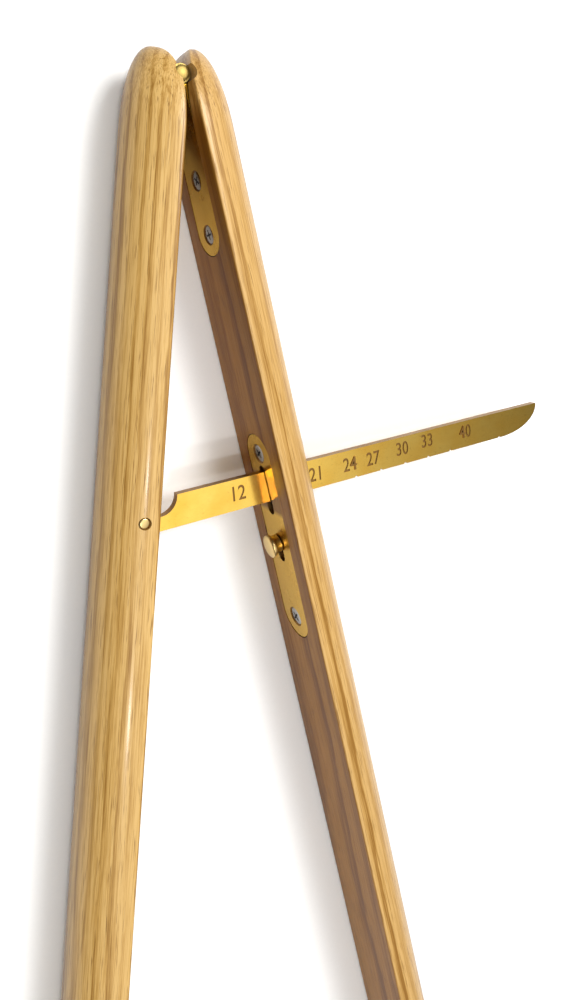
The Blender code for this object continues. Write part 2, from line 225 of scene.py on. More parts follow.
def through_z(name, outline, low, high, place):
    return loft(name, [[(u, n, z) for u, n in outline] for z in (low, high)], place)


def turned_n(name, u, z, profile, place, steps=48):
    """A body of revolution along n through (u, z), from (n, radius) pairs."""
    return loft(name, [[(a, n, b) for a, b in circle(u, z, r, steps)] for n, r in profile], place)


def turned_z(name, u, n, profile, place, steps=48):
    """A body of revolution along z through (u, n), from (z, radius) pairs."""
    return loft(name, [[(a, b, z) for a, b in circle(u, n, r, steps)] for z, r in profile], place)


def turned_u(name, n, z, profile, place, steps=48):
    """A body of revolution along u through (n, z), from (u, radius) pairs."""
    return loft(name, [[(u, a, b) for a, b in circle(n, z, r, steps)] for u, r in profile], place)


def carve(piece, tools, operation="DIFFERENCE", keep_material=False):
    """Cut tools from a piece, or join them on, and remove the tools."""
    for tool in tools:
        step = piece.modifiers.new("carve", "BOOLEAN")
        step.operation = operation
        step.solver = "EXACT"
        step.object = tool
        if keep_material:
            step.material_mode = "TRANSFER"
    bpy.context.view_layer.update()
    graph = bpy.context.evaluated_depsgraph_get()
    carved = bpy.data.meshes.new_from_object(piece.evaluated_get(graph))
    piece.modifiers.clear()
    piece.data = carved
    for tool in tools:
        bpy.data.objects.remove(tool)


def soften(piece, width, segments=2, angle=40):
    """Round a piece's sharp edges."""
    step = piece.modifiers.new("soften", "BEVEL")
    step.width = width * MM
    step.segments = segments
    step.limit_method = "ANGLE"
    step.angle_limit = math.radians(angle)
    step.harden_normals = True


def place_piece(piece, name, nodes, place, material, body=None, angle=35):
    """Name a finished piece, shade it, and put it on its body in place of its CAD nodes."""
    piece.name = name
    piece.data.name = name
    if not piece.data.materials:
        piece.data.materials.append(material)
    piece.data.shade_smooth()
    piece.data.set_sharp_from_angle(angle=math.radians(angle))
    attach(piece, body or place.body)
    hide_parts(*nodes)


# ---------------------------------------------------------------- materials

class Nodes:
    """A small helper that adds and links shader nodes."""

    def __init__(self, name):
        self.material = bpy.data.materials.new(name)
        self.material.use_nodes = True
        self.tree = self.material.node_tree
        self.shader = self.tree.nodes["Principled BSDF"]

    def add(self, kind, inputs=None, **settings):
        node = self.tree.nodes.new(kind)
        for key, value in settings.items():
            setattr(node, key, value)
        for key, value in (inputs or {}).items():
            if isinstance(value, bpy.types.NodeSocket):
                self.tree.links.new(value, node.inputs[key])
            else:
                node.inputs[key].default_value = value
        return node

    def math(self, operation, first, second=0.0):
        return self.add("ShaderNodeMath", {0: first, 1: second}, operation=operation).outputs[0]

    def ramp(self, factor, stops, mode="LINEAR"):
        node = self.add("ShaderNodeValToRGB", {0: factor})
        node.color_ramp.interpolation = mode
        elements = node.color_ramp.elements
        while len(elements) < len(stops):
            elements.new(0.5)
        for element, (at, colour) in zip(elements, stops):
            element.position = at
            element.color = colour if len(colour) == 4 else (*colour, 1.0)
        return node.outputs[0]

    def mix(self, factor, first, second, blend="MIX"):
        node = self.add("ShaderNodeMix", {0: factor, 6: first, 7: second}, data_type="RGBA",
                        blend_type=blend)
        return node.outputs[2]

    def span(self, value, low, high):
        """Map 0..1 noise to a range."""
        node = self.add("ShaderNodeMapRange", {0: value, 3: low, 4: high})
        return node.outputs[0]

    def fade(self, value, start, end, low, high):
        """Run from low to high as a value goes from start to end."""
        node = self.add("ShaderNodeMapRange", {0: value, 1: start, 2: end, 3: low, 4: high})
        return node.outputs[0]

    def out(self, **inputs):
        for key, value in inputs.items():
            socket = self.shader.inputs[key.replace("_", " ")]
            if isinstance(value, bpy.types.NodeSocket):
                self.tree.links.new(value, socket)
            else:
                socket.default_value = value
        return self.material


def grey(value):
    return (value, value, value, 1.0)


RUBBED_WOOD = (0.34, 0.18, 0.035, 1.0)
# Painted shade for the flat inner face of each leg.
FLAT_FACE_PAINTED_SHADE = (0.60, 0.44, 0.18, 1.0)
# Painted shade for the wood near the floor.
UNDERSIDE_PAINTED_SHADE = (0.55, 0.49, 0.30, 1.0)
# Painted shade for the walls and floors of the plate recesses.
RECESS_PAINTED_SHADE = (0.035, 0.018, 0.008, 1.0)
RECESS_HALF = 8.6
RECESS_FLOOR = -2.3


def ash(name, centre, ring_gap, light, mid, dark, up):
    """Lacquered ash in a leg's own frame.

    The rings are centred beside the leg, ring_gap apart. The flat face, the underside and the
    recesses for the plates are darkened with painted shade. up is the direction of the frame's third axis.
    """
    wood = Nodes(name)
    where = wood.add("ShaderNodeTexCoord").outputs["Object"]
    in_mm = wood.add("ShaderNodeVectorMath", {0: where, 1: (1000, 1000, 1000)},
                     operation="MULTIPLY").outputs[0]
    parts = wood.add("ShaderNodeSeparateXYZ", {0: in_mm}).outputs

    def noise(scale, detail=2.0, rough=0.5, distortion=0.0):
        moved = wood.add("ShaderNodeVectorMath", {0: in_mm, 1: scale}, operation="MULTIPLY").outputs[0]
        node = wood.add("ShaderNodeTexNoise", {"Vector": moved, "Scale": 1.0, "Detail": detail,
                                               "Roughness": rough, "Distortion": distortion})
        return node.outputs[0]

    across = wood.math("SUBTRACT", parts[1], centre[0])
    upward = wood.math("SUBTRACT", parts[2], centre[1])
    reach = wood.math("SQRT", wood.math("ADD", wood.math("MULTIPLY", across, across),
                                        wood.math("MULTIPLY", upward, upward)))
    sway = wood.span(noise((0.0045, 0.012, 0.012), 2.0), -4.0, 4.0)
    ripple = wood.span(noise((0.03, 0.25, 0.25), 3.0), -1.3, 1.3)
    rings = wood.math("DIVIDE", wood.math("ADD", reach, wood.math("ADD", sway, ripple)), ring_gap)
    phase = wood.math("FRACT", rings)
    ring = wood.math("FLOOR", rings)
    strength = wood.add("ShaderNodeTexWhiteNoise", {"W": ring}, noise_dimensions="1D").outputs[0]
    late = wood.ramp(phase, ((0.0, grey(0.3)), (0.1, grey(0.0)), (0.42, grey(0.08)),
                             (0.72, grey(0.8)), (0.92, grey(1.0)), (1.0, grey(0.3))))
    late = wood.math("MULTIPLY", late, wood.span(strength, 0.35, 1.0))
    fibre = noise((0.05, 2.4, 2.4), 4.0, 0.75)
    streak = noise((0.01, 0.6, 0.6), 3.0, 0.6)
    late = wood.math("ADD", late, wood.span(fibre, -1.15, 1.2))
    late = wood.math("ADD", late, wood.span(streak, -0.7, 0.8))
    colour = wood.ramp(late, ((0.0, light), (0.45, mid), (1.0, dark)))
    pore_noise = noise((0.11, 3.6, 3.6), 2.0, 0.5)
    early = wood.ramp(phase, ((0.0, grey(1.0)), (0.3, grey(0.8)), (0.55, grey(0.15)), (1.0, grey(0.5))))
    pores = wood.ramp(pore_noise, ((0.0, grey(0.0)), (0.57, grey(0.0)), (0.66, grey(1.0))))
    pores = wood.math("MULTIPLY", pores, early)
    pore_colour = (dark[0] * 0.62, dark[1] * 0.55, dark[2] * 0.5, 1.0)
    colour = wood.mix(wood.math("MULTIPLY", pores, 0.85), colour, pore_colour)
    broad = noise((0.008, 0.05, 0.05), 1.0)
    colour = wood.mix(wood.span(broad, 0.0, 0.35), colour, RUBBED_WOOD)
    # Painted shade: the flat inner face is made darker than the rounded side.
    flat = wood.fade(parts[1], -0.4, -0.03, 0.0, 1.0)
    colour = wood.mix(flat, colour, FLAT_FACE_PAINTED_SHADE, "MULTIPLY")
    # Painted shade: the rounded side grows darker towards the floor.
    under = wood.fade(wood.math("MULTIPLY", parts[2], up), 8.0, -2.0, 0.0, 1.0)
    colour = wood.mix(wood.math("MULTIPLY", under, wood.math("SUBTRACT", 1.0, flat)), colour,
                      UNDERSIDE_PAINTED_SHADE, "MULTIPLY")
    # Painted shade: the recess walls and floors round the plates are made near black.
    inside = wood.math("LESS_THAN", wood.math("ABSOLUTE", parts[2]), RECESS_HALF)
    below = wood.math("LESS_THAN", parts[1], -0.12)
    above = wood.math("GREATER_THAN", parts[1], RECESS_FLOOR)
    recess = wood.math("MULTIPLY", wood.math("MULTIPLY", inside, below), above)
    colour = wood.mix(wood.math("MULTIPLY", recess, 0.8), colour, RECESS_PAINTED_SHADE)
    height = wood.math("SUBTRACT", wood.math("MULTIPLY", fibre, 0.5), wood.math("MULTIPLY", pores, 0.8))
    bump = wood.add("ShaderNodeBump", {"Height": height, "Strength": 0.35, "Distance": 0.00006})
    rough = wood.span(fibre, 0.34, 0.52)
    return wood.out(Base_Color=colour, Roughness=rough, Normal=bump.outputs[0],
                    Coat_Weight=wood.span(flat, 0.28, 0.0), Coat_Roughness=0.15, Coat_IOR=1.45,
                    Specular_IOR_Level=0.25)


def metal(name, base, tint, dark, roughness, wave=0.0, scratch=0.25, grain=(1.0, 1.0, 1.0), painted_reflection_band=None):
    """Worn metal: broad tarnish, fine scratches, slight waves, darker marks, and a painted dark reflection
    band.
    """
    made = Nodes(name)
    where = made.add("ShaderNodeTexCoord").outputs["Object"]

    def noise(scale, detail=3.0, rough=0.55):
        moved = made.add("ShaderNodeVectorMath", {0: where, 1: scale}, operation="MULTIPLY").outputs[0]
        node = made.add("ShaderNodeTexNoise", {"Vector": moved, "Scale": 1.0, "Detail": detail,
                                               "Roughness": rough})
        return node.outputs[0]

    stain = noise((90, 90, 90), 4.0)
    spots = noise((700, 700, 700), 3.0, 0.6)
    lines = noise(tuple(220 * g for g in grain), 4.0, 0.6)
    colour = made.mix(made.span(stain, 0.0, 1.0), base, tint)
    marks = made.ramp(spots, ((0.0, grey(0.0)), (0.6, grey(0.0)), (0.78, grey(1.0))))
    colour = made.mix(made.math("MULTIPLY", marks, 0.35), colour, dark)
    # Optional band along the piece's first axis, darkened as a painted dark reflection.
    if painted_reflection_band:
        along = made.add("ShaderNodeSeparateXYZ", {0: where}).outputs[0]
        start, end = painted_reflection_band
        enter = made.fade(along, start - 0.002, start, 0.0, 0.9)
        leave = made.fade(along, end, end + 0.002, 1.0, 0.0)
        colour = made.mix(made.math("MULTIPLY", enter, leave), colour, dark)
    rough = made.math("ADD", made.span(stain, roughness * 0.7, roughness * 1.35),
                      made.span(lines, -0.03, 0.05))
    waves = noise((55, 55, 55), 1.0)
    height = made.math("ADD", made.math("MULTIPLY", waves, wave), made.math("MULTIPLY", lines, 0.012))
    bump = made.add("ShaderNodeBump", {"Height": height, "Strength": scratch, "Distance": 0.001})
    return made.out(Base_Color=colour, Metallic=1.0, Roughness=rough, Normal=bump.outputs[0])


ASH_LEFT = ash("ash_left", (70.0, 48.0), 3.9, (0.66, 0.425, 0.150), (0.50, 0.290, 0.076),
               (0.235, 0.105, 0.012), LEFT.up)
ASH_RIGHT = ash("ash_right", (60.0, 20.0), 4.1, (0.62, 0.385, 0.14), (0.48, 0.272, 0.075),
                (0.25, 0.112, 0.016), RIGHT.up)
BRASS = metal("brass_polished", (0.66, 0.40, 0.04, 1), (0.54, 0.30, 0.02, 1), (0.30, 0.15, 0.01, 1), 0.24,
              0.05, grain=(0.2, 3.0, 3.0))
BRASS_ARM = metal("brass_arm", (0.95, 0.68, 0.17, 1), (0.80, 0.42, 0.04, 1), (0.36, 0.18, 0.02, 1), 0.15,
                  0.14, grain=(0.3, 4.0, 4.0))
# The darker dark colour here also paints the dark reflection band beside the arm slot.
BRASS_PLATE = metal("brass_plate", (0.66, 0.40, 0.04, 1), (0.54, 0.30, 0.02, 1), (0.17, 0.07, 0.01, 1), 0.24,
                    0.05, grain=(0.2, 3.0, 3.0), painted_reflection_band=(0.142, 0.1545))
BRASS_SATIN = metal("brass_satin", (0.72, 0.54, 0.24, 1), (0.60, 0.42, 0.16, 1), (0.40, 0.24, 0.08, 1), 0.33)
BRASS_DARK = metal("brass_tarnished", (0.30, 0.17, 0.05, 1), (0.20, 0.10, 0.03, 1), (0.08, 0.04, 0.01, 1),
                   0.45)
# Painted shade: a darker copy of the arm's brass for its side faces.
BRASS_SIDE_PAINTED_SHADE = metal("brass_side_painted_shade", (0.30, 0.16, 0.04, 1), (0.20, 0.10, 0.02, 1), (0.06, 0.03, 0.01, 1), 0.35)
# Painted shade: a darkened brass for the hinge pin and knuckles.
BRASS_HINGE_PAINTED_SHADE = metal("brass_hinge_painted_shade", (0.30, 0.22, 0.07, 1), (0.22, 0.15, 0.04, 1), (0.08, 0.05, 0.02, 1), 0.42)
STEEL = metal("steel_bright", (0.42, 0.41, 0.39, 1), (0.27, 0.26, 0.25, 1), (0.08, 0.07, 0.07, 1), 0.2)
STEEL_DARK = metal("steel_recess", (0.10, 0.10, 0.11, 1), (0.06, 0.06, 0.06, 1), (0.02, 0.02, 0.02, 1), 0.5)


# ---------------------------------------------------------------- legs

def section(u, scale=1.0, inset=0.0, centre_n=DOME_CENTRE_N, crease=CREASE_R):
    """Half-round section of a leg with its two creases slightly rounded."""
    half = HALF_WIDTH - TAPER * u - inset
    depth = DEPTH_RATIO * (HALF_WIDTH - TAPER * u) - inset
    reach = depth - inset
    first = math.asin(min(1.0, crease / reach))
    side = half * math.cos(first)
    corner = []
    for i in range(CREASE_STEPS + 1):
        angle = math.pi / 2 * i / CREASE_STEPS
        corner.append((-inset - crease + crease * math.cos(angle),
                       side - crease + crease * math.sin(angle)))
    arc = []
    for i in range(1, ARC_STEPS):
        angle = math.pi / 2 - first - (math.pi - 2 * first) * i / ARC_STEPS
        arc.append((-inset - reach * math.cos(angle), half * math.sin(angle)))
    outline = corner + arc + [(n, -z) for n, z in reversed(corner)]
    return [(u, centre_n + scale * (n - centre_n), scale * z) for n, z in outline]


def dome_scale(u):
    """How much of the full section the rounded head keeps at u."""
    share = (HEAD_TOP + DOME_LENGTH - u) / DOME_LENGTH
    return (1 - max(share, 0.0) ** 2.4) ** 0.48


def leg_blank(name, place):
    """A leg's wood: domed head, straight tapering shaft and tenon."""
    shares = [0.9995 * math.cos(math.pi / 2 * i / DOME_STEPS) for i in range(DOME_STEPS)] + [0.0]
    stations = [HEAD_TOP + DOME_LENGTH * (1 - share) for share in shares]
    rings = [section(u, dome_scale(u)) for u in stations]
    rings += [section(u) for u in (120.0, 240.0, 360.0, 480.0, 600.0, 720.0, SHOULDER - 0.4)]
    rings.append(section(SHOULDER, inset=0.25))
    rings.append(section(SHOULDER, inset=TENON_INSET))
    rings.append(section(TENON_END, inset=TENON_INSET))
    return loft(name, rings, place)


def lined(tool, lining):
    """A cutter that leaves its own material on the faces it cuts."""
    if lining:
        tool.data.materials.append(lining)
    return tool


def screw_hole(u, place, lining=None):
    profile = ((0.4, 4.2), (-1.9, 1.9), (-SCREW_LENGTH - 1.6, 1.9))
    return lined(turned_n("hole", u, 0.0, profile, place, 40), lining)


def set_screw_hole(lining=None):
    profile = ((-7.5, SET_SCREW_R + GAP), (2.0, SET_SCREW_R + GAP))
    return lined(turned_n("hole", SET_SCREW_U, SET_SCREW_Z, profile, RIGHT, 32), lining)


def shoe_pin_hole(place):
    radius = SHOE_PIN_R + 0.1
    return turned_n("pin_hole", SHOE_PIN_U, 0.0, ((-20, radius), (-7.5, radius)), place, 24)


def common_cuts(place):
    """Barrel groove, hinge leaf recess, screw holes and shoe pin hole."""
    tools = [turned_z("groove", 0.0, 0.0, ((-20, 3.6), (20, 3.6)), place)]
    tools.append(through_n("recess", slot_outline(-12.0, LEAF_END + GAP, LEAF_HALF_WIDTH + GAP),
                           PLATE_BACK - GAP, 2.0, place))
    tools += [screw_hole(u, place) for u in LEAF_SCREWS]
    tools.append(shoe_pin_hole(place))
    return tools


def left_leg():
    leg = leg_blank("left", LEFT)
    tools = common_cuts(LEFT)
    floor = PIVOT_N + ARM_BOTTOM - 0.7
    end = PIVOT_U + ARM_LENGTH + 2.0
    groove = ((PIVOT_U - 7.0, 2.0), (PIVOT_U - 7.0, -9.5), (PIVOT_U - 2.5, floor),
              (end - ARM_TIP_CURVE, floor), (end - 9.0, floor + 5.0), (end, -2.0), (end, 2.0))
    tools.append(through_z("arm_groove", groove, -GROOVE_HALF, GROOVE_HALF, LEFT))
    hole = PIVOT_PIN_R + 0.22
    tools.append(turned_z("pivot_hole", PIVOT_U, PIVOT_N, ((-20, hole), (20, hole)), LEFT, 40))
    reach = KNOB_R + 0.9
    tools.append(through_n("knob_pocket", slot_outline(KNOB_U - reach, KNOB_U + CATCH_TRAVEL + reach, reach),
                           -KNOB_TOP - 0.9, 2.0, LEFT))
    carve(leg, tools)
    place_piece(leg, "ash_leg_left", ["left_leg"], LEFT, ASH_LEFT, angle=28)


def right_leg():
    leg = leg_blank("right", RIGHT)
    tools = common_cuts(RIGHT)
    tools.append(through_n("catch_recess", slot_outline(CATCH_TOP - GAP, CATCH_BOTTOM + GAP,
                                                        LEAF_HALF_WIDTH + GAP), PLATE_BACK - GAP, 2.0, RIGHT))
    tools += [screw_hole(u, RIGHT) for u in CATCH_SCREWS]
    top, bottom = ARM_SLOT
    slot = ((top - 0.4, 2.0), (top - 0.4, -2.0), (top + 1.4, -20.0),
            (bottom + 13.5, -20.0), (bottom + 0.3, -1.0), (bottom + 0.3, 2.0))
    tools.append(through_z("arm_slot", slot, -SLOT_HALF - 0.2, SLOT_HALF + 0.2, RIGHT))
    half = BOLT_HALF + 0.4
    start = BOLT_NOSE[1] - 1.2
    pocket = ((start, -half), (POCKET_END, -half), (POCKET_END, half), (start, half))
    tools.append(through_n("catch_pocket", pocket, POCKET_FLOOR, -1.0, RIGHT))
    tools.append(set_screw_hole())
    carve(leg, tools)
    place_piece(leg, "ash_leg_right", ["right_leg"], RIGHT, ASH_RIGHT, angle=28)


# ---------------------------------------------------------------- hinge

def leaf_outline(own_start, other_start, own_middle):
    """Leaf plate in (u, z), cut back where the other leaf's knuckles turn."""
    middle = own_start if own_middle else other_start
    outer = other_start if own_middle else own_start
    step = KNUCKLE_HALF if own_middle else KNUCKLE_HALF + GAP
    edge = LEAF_HALF_WIDTH
    end = slot_outline(0.0, LEAF_END, edge)[:25]
    return end + [(outer, edge), (outer, step), (middle, step), (middle, -step),
                  (outer, -step), (outer, -edge)]


def hinge_leaf(side, place, own_middle):
    """Let-in plate with its knuckles round the barrel axis."""
    leaf = through_n("leaf", leaf_outline(2.2, BARREL_R + 0.4, own_middle), PLATE_BACK, PLATE_TOP, place)
    inner = KNUCKLE_HALF + GAP
    spans = ((-BARREL_HALF, -inner), (inner, BARREL_HALF))
    if own_middle:
        spans = ((-KNUCKLE_HALF, KNUCKLE_HALF),)
    knuckles = [turned_z("knuckle", 0.0, 0.0, ((low, BARREL_R), (high, BARREL_R)), place, 64)
                for low, high in spans]
    for knuckle in knuckles:
        knuckle.data.materials.append(BRASS_HINGE_PAINTED_SHADE)
    leaf.data.materials.append(BRASS)
    carve(leaf, knuckles, "UNION", keep_material=True)
    tools = [lined(turned_z("bore", 0.0, 0.0, ((-12, PIN_R + GAP), (12, PIN_R + GAP)), place), BRASS_DARK)]
    tools += [screw_hole(u, place, BRASS_DARK) for u in LEAF_SCREWS]
    if side == "right":
        tools.append(set_screw_hole(BRASS_DARK))
    carve(leaf, tools, keep_material=True)
    soften(leaf, 0.12)
    place_piece(leaf, f"brass_leaf_{side}", [f"hinge_leaf_{side}"], place, BRASS)


def hinge_pin():
    front = BARREL_HALF + GAP
    top = front + 0.8
    profile = ((-front - 0.6, 1.2), (-front - 0.5, 1.7), (-front - 0.25, 2.1), (-front, 2.2),
               (-front, PIN_R), (front, PIN_R), (front, PIN_HEAD_R - 0.1),
               (front + 0.12, PIN_HEAD_R), (front + 0.35, PIN_HEAD_R),
               (front + 0.5, PIN_HEAD_R - 0.25), (front + 0.62, 1.7), (top - 0.06, 1.0), (top, 0.3))
    pin = turned_z("pin", 0.0, 0.0, profile, LEFT, 64)
    place_piece(pin, "brass_hinge_pin", ["hinge_pin"], LEFT, BRASS_HINGE_PAINTED_SHADE)


def cross_recess(u, z, top, place, radius, turn):
    """Tapering cross-shaped cutter for a screw's driver recess."""
    arm = radius * 0.2
    outline = ((radius, -arm), (radius, arm), (arm, arm), (arm, radius), (-arm, radius), (-arm, arm),
               (-radius, arm), (-radius, -arm), (-arm, -arm), (-arm, -radius), (arm, -radius), (arm, -arm))
    rings = []
    for n, scale in ((top + 0.3, 1.12), (top - radius * 0.65, 0.42)):
        ring = []
        for a, b in outline:
            along = a * math.cos(turn) - b * math.sin(turn)
            upward = a * math.sin(turn) + b * math.cos(turn)
            ring.append((u + scale * along, n, z + scale * upward))
        rings.append(ring)
    tool = loft("cross", rings, place)
    tool.data.materials.append(STEEL_DARK)
    return tool


def plate_screw(node, u, place, turn):
    """Countersunk wood screw with a cross recess."""
    top = PLATE_TOP - 0.15
    profile = ((top, 0.6), (top - 0.02, 1.6), (top - 0.1, SCREW_HEAD_R - 0.25), (top - 0.22, SCREW_HEAD_R),
               (top - 0.35, SCREW_HEAD_R), (top - 1.6, SCREW_SHANK_R), (2 - SCREW_LENGTH, SCREW_SHANK_R),
               (-SCREW_LENGTH, 0.4))
    screw = turned_n("screw", u, 0.0, profile, place, 56)
    screw.data.materials.append(STEEL)
    carve(screw, [cross_recess(u, 0.0, top, place, 1.85, turn)], keep_material=True)
    place_piece(screw, f"steel_{node}", [node], place, STEEL)


def set_screw():
    top = PLATE_TOP - 0.1
    profile = ((top, 0.5), (top - 0.08, 0.85), (top - 0.3, SET_SCREW_R), (-6.5, SET_SCREW_R), (-7.0, 0.5))
    screw = turned_n("screw", SET_SCREW_U, SET_SCREW_Z, profile, RIGHT, 40)
    screw.data.materials.append(STEEL)
    carve(screw, [cross_recess(SET_SCREW_U, SET_SCREW_Z, top, RIGHT, 0.75, 0.5)], keep_material=True)
    place_piece(screw, "steel_set_screw", ["hinge_set_screw"], RIGHT, STEEL)


# ---------------------------------------------------------------- stay arm

def arm_outline():
    """The arm's (s, t) outline: eye, notched lower edge, curved tip, cut-out."""
    turns = [math.radians(degrees) for degrees in range(10, 201, 5)]
    points = [(EYE_R * math.cos(a), EYE_R * math.sin(a)) for a in turns]
    points += [(-4.3, -4.5), (-3.6, -6.2), (-2.6, -7.6), (-1.4, -8.6), (0.0, ARM_BOTTOM)]
    for s in NOTCHES:
        points += [(s - NICK_HALF, ARM_BOTTOM), (s, ARM_BOTTOM + NICK_DEPTH), (s + NICK_HALF, ARM_BOTTOM)]
    start = ARM_LENGTH - ARM_TIP_CURVE
    for i in range(33):
        angle = math.pi / 2 * i / 32
        points.append((start + ARM_TIP_CURVE * math.sin(angle),
                       ARM_TOP - (ARM_TOP - ARM_BOTTOM) * math.cos(angle)))
    for d in range(-2, -153, -5):
        angle = math.radians(d)
        points.append((CUT_S + CUT_R * math.cos(angle), CUT_T + CUT_R * math.sin(angle)))
    return points


def numeral(text, s, t):
    """Cutter for one stamped setting, standing a little into the arm's front face."""
    curve = bpy.data.curves.new("numeral", "FONT")
    curve.body = text
    curve.size = NUMERAL_SIZE * MM
    curve.align_x = "CENTER"
    curve.align_y = "CENTER"
    curve.space_character = 1.05
    curve.extrude = NUMERAL_DEPTH * MM
    curve.offset = 0.08 * MM
    curve.resolution_u = 4
    writer = bpy.data.objects.new("numeral", curve)
    bpy.context.scene.collection.objects.link(writer)
    bpy.context.view_layer.update()
    data = bpy.data.meshes.new_from_object(writer)
    bpy.data.objects.remove(writer)
    mesh = bmesh.new()
    mesh.from_mesh(data)
    bmesh.ops.remove_doubles(mesh, verts=mesh.verts, dist=1e-6)
    bmesh.ops.scale(mesh, verts=mesh.verts, vec=(0.84, 1.0, 1.0))
    bmesh.ops.translate(mesh, verts=mesh.verts, vec=ARM.local((s, t, ARM_HALF_THICK)))
    bmesh.ops.recalc_face_normals(mesh, faces=mesh.faces)
    mesh.to_mesh(data)
    mesh.free()
    data.materials.clear()
    data.materials.append(BRASS_DARK)
    tool = bpy.data.objects.new("numeral", data)
    tool.matrix_world = ARM.matrix
    bpy.context.scene.collection.objects.link(tool)
    return tool


def stay_arm():
    arm = through_z("arm", arm_outline(), -ARM_HALF_THICK, ARM_HALF_THICK, ARM)
    arm.data.materials.append(BRASS_ARM)
    arm.data.materials.append(BRASS_SIDE_PAINTED_SHADE)
    # The side faces get the darker brass as painted shade.
    for face in arm.data.polygons:
        if abs(face.normal.z) < 0.5:
            face.material_index = 1
    carve(arm, [turned_z("eye", 0.0, 0.0, ((-5, PIVOT_PIN_R + 0.15), (5, PIVOT_PIN_R + 0.15)), ARM)])
    carve(arm, [numeral(*entry) for entry in NUMERALS], keep_material=True)
    place_piece(arm, "brass_stay_arm", ["stay_arm"], ARM, BRASS_ARM)


def stay_pivot_pin():
    half = PIVOT_PIN_HALF
    profile = ((-half, PIVOT_PIN_R - 0.3), (-half + 0.3, PIVOT_PIN_R), (half - 0.35, PIVOT_PIN_R),
               (half - 0.1, PIVOT_PIN_R - 0.2), (half, PIVOT_PIN_R - 0.5))
    pin = turned_z("pivot", PIVOT_U, PIVOT_N, profile, LEFT, 48)
    place_piece(pin, "brass_pivot_pin", ["stay_pivot_pin"], LEFT, BRASS_SATIN)


# ---------------------------------------------------------------- catch

def catch_plate():
    outline = slot_outline(CATCH_TOP, CATCH_BOTTOM, LEAF_HALF_WIDTH)
    plate = through_n("plate", outline, PLATE_BACK, PLATE_TOP, RIGHT)
    plate.data.materials.append(BRASS_PLATE)
    tools = [lined(through_n("slot", slot_outline(a, b, SLOT_HALF), -4.0, 2.0, RIGHT), BRASS_DARK)
             for a, b in (ARM_SLOT, KNOB_SLOT)]
    tools += [screw_hole(u, RIGHT, BRASS_DARK) for u in CATCH_SCREWS]
    carve(plate, tools, keep_material=True)
    soften(plate, 0.12)
    place_piece(plate, "brass_catch_plate", ["catch_plate"], RIGHT, BRASS_PLATE)


def catch_bolt():
    low, high = BOLT_N
    outline = ((BOLT_NOSE[0], low), (BOLT_FOOT, low), (BOLT_FOOT, high), (BOLT_NOSE[1], high))
    bolt = through_z("bolt", outline, -BOLT_HALF, BOLT_HALF, RIGHT)
    stud = turned_n("stud", KNOB_U, 0.0, ((high - 1.5, STUD_R), (KNOB_TOP - 1.3, STUD_R)), RIGHT)
    carve(bolt, [stud], "UNION")
    soften(bolt, 0.15)
    place_piece(bolt, "brass_catch_bolt", ["catch_bolt"], RIGHT, BRASS, body="catch_body")


def catch_knob():
    """Round knob with a plain body and a wider face."""
    body, rim, top = KNOB_BODY_R, KNOB_R, KNOB_TOP
    profile = ((0.15, body - 0.15), (0.3, body), (2.1, body), (2.35, body + 0.15),
               (2.5, rim - 0.25), (2.65, rim - 0.05), (2.85, rim), (3.75, rim),
               (3.98, rim - 0.1), (4.15, rim - 0.35), (4.28, rim - 0.8), (top - 0.04, 2.2), (top, 0.8))
    knob = turned_n("knob", KNOB_U, 0.0, profile, RIGHT, 72)
    bore = ((-1.0, STUD_R + GAP), (top - 1.0, STUD_R + GAP))
    carve(knob, [turned_n("bore", KNOB_U, 0.0, bore, RIGHT, 32)])
    place_piece(knob, "brass_catch_knob", ["catch_knob"], RIGHT, BRASS_SATIN,
                body="catch_body", angle=40)


def catch_spring():
    start = BOLT_FOOT + GAP + WIRE_R
    end = POCKET_END - GAP - WIRE_R
    steps = 24 * SPRING_TURNS
    rings = []
    for i in range(steps + 1):
        share = i / steps
        angle = 2 * math.pi * SPRING_TURNS * share
        ring = []
        for a in (2 * math.pi * k / 10 for k in range(10)):
            reach = SPRING_R + WIRE_R * math.cos(a)
            ring.append((start + (end - start) * share + WIRE_R * math.sin(a),
                         SPRING_N + reach * math.cos(angle), reach * math.sin(angle)))
        rings.append(ring)
    spring = loft("spring", rings, RIGHT)
    place_piece(spring, "steel_catch_spring", ["catch_spring"], RIGHT, STEEL, angle=60)


# ---------------------------------------------------------------- feet

def shoe(side, place):
    """Turned brass shoe over the tenon, with a bore for the toe."""
    key = ((SHOULDER + GAP, 1.0), (876.0, 0.985), (883.0, 0.92), (889.0, 0.78), (SHOE_END, 0.6))
    rings = []
    for (u0, s0), (u1, s1) in zip(key, key[1:]):
        for i in range(3):
            rings.append(section(u0 + (u1 - u0) * i / 3, s0 + (s1 - s0) * i / 3, centre_n=-TOE_DEPTH))
    rings.append(section(SHOE_END, key[-1][1], centre_n=-TOE_DEPTH))
    body = loft("shoe", rings, place)
    cavity = [section(u, inset=TENON_INSET - GAP) for u in (SHOULDER - 2.0, TENON_END + GAP)]
    tools = [loft("cavity", cavity, place)]
    bore = ((SHOE_END - 8.3, TOE_SHANK_R + GAP), (SHOE_END + 2.0, TOE_SHANK_R + GAP))
    tools.append(turned_u("bore", -TOE_DEPTH, 0.0, bore, place))
    tools.append(shoe_pin_hole(place))
    carve(body, tools)
    place_piece(body, f"brass_shoe_{side}", [f"shoe_{side}"], place, BRASS, angle=28)


